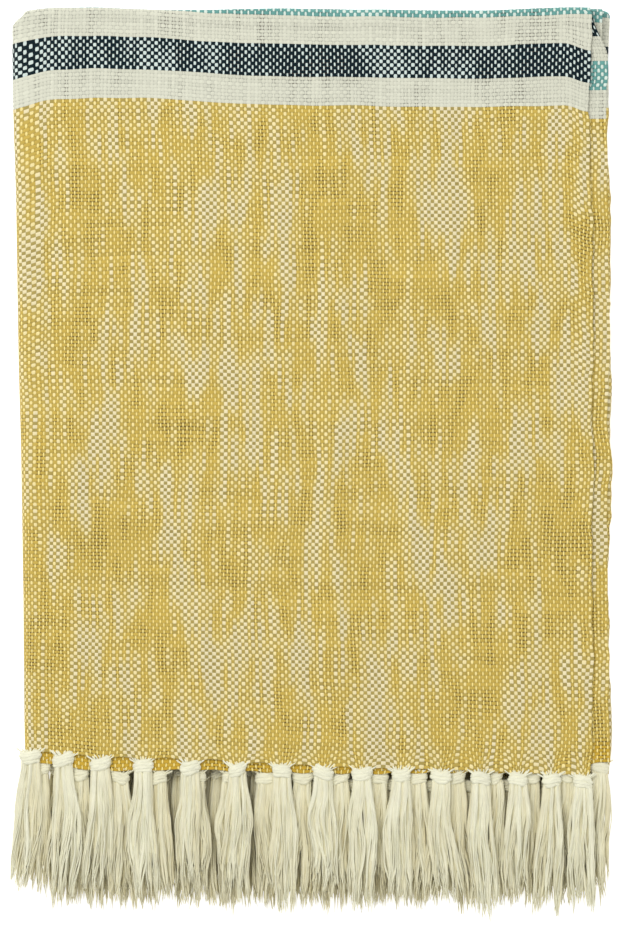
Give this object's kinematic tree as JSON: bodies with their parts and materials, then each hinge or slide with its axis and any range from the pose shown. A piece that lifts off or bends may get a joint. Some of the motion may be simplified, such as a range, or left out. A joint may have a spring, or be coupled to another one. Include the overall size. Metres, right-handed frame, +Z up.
{
  "type": "folded throw blanket",
  "caption": "Soft woven throw with stripes and a knotted tassel fringe, folded flat in quarters both ways, with its last fold opening like a book",
  "frame": {"origin": "middle of the underside of the folded stack with its fringe, on the surface it lies on", "axes": "+X across the throw to the free selvedges, +Y from the fringe to the folded end, +Z up"},
  "size_m": [0.3324, 0.51, 0.0252],
  "materials": {
    "woven_cloth": "loose slubby plain weave: mustard weft on cream warp, with cream, navy and teal bands near each end",
    "fringe_yarn": "soft undyed cotton warp ends, knotted into tassels"
  },
  "bodies": {
    "lower_half": {"bottom_panel": "woven_cloth", "third_panel": "woven_cloth", "right_fold": "woven_cloth", "left_fold_inner": "woven_cloth", "left_fold_outer": "woven_cloth", "bottom_panel_fringe_a": "fringe_yarn", "bottom_panel_fringe_b": "fringe_yarn", "third_panel_fringe_a": "fringe_yarn", "third_panel_fringe_b": "fringe_yarn", "left_fold_fringe": "fringe_yarn"},
    "upper_half": {"second_panel": "woven_cloth", "top_panel": "woven_cloth", "second_panel_fringe_a": "fringe_yarn", "second_panel_fringe_b": "fringe_yarn", "front_tassel_01": "fringe_yarn", "front_tassel_02": "fringe_yarn", "front_tassel_03": "fringe_yarn", "front_tassel_04": "fringe_yarn", "front_tassel_05": "fringe_yarn", "front_tassel_06": "fringe_yarn", "front_tassel_07": "fringe_yarn", "front_tassel_08": "fringe_yarn", "front_tassel_09": "fringe_yarn", "front_tassel_10": "fringe_yarn", "front_tassel_11": "fringe_yarn", "front_tassel_12": "fringe_yarn", "front_tassel_13": "fringe_yarn", "front_tassel_14": "fringe_yarn", "front_tassel_15": "fringe_yarn", "under_tassel_01": "fringe_yarn", "under_tassel_02": "fringe_yarn", "under_tassel_03": "fringe_yarn", "under_tassel_04": "fringe_yarn", "under_tassel_05": "fringe_yarn", "under_tassel_06": "fringe_yarn", "under_tassel_07": "fringe_yarn", "under_tassel_08": "fringe_yarn", "under_tassel_09": "fringe_yarn", "under_tassel_10": "fringe_yarn", "under_tassel_11": "fringe_yarn", "under_tassel_12": "fringe_yarn", "under_tassel_13": "fringe_yarn", "under_tassel_14": "fringe_yarn", "under_tassel_15": "fringe_yarn", "under_tassel_16": "fringe_yarn"}
  },
  "joints": [
    {"name": "last_fold_hinge", "type": "hinge", "parent": "lower_half", "child": "upper_half", "pos_m": [-0.1536, 0, 0.0126], "axis": [0, -1, 0], "range_deg": [0, 180], "deforming": ["left_fold_outer", "left_fold_inner", "left_fold_fringe", "front_tassel_01", "under_tassel_01"]}
  ]
}
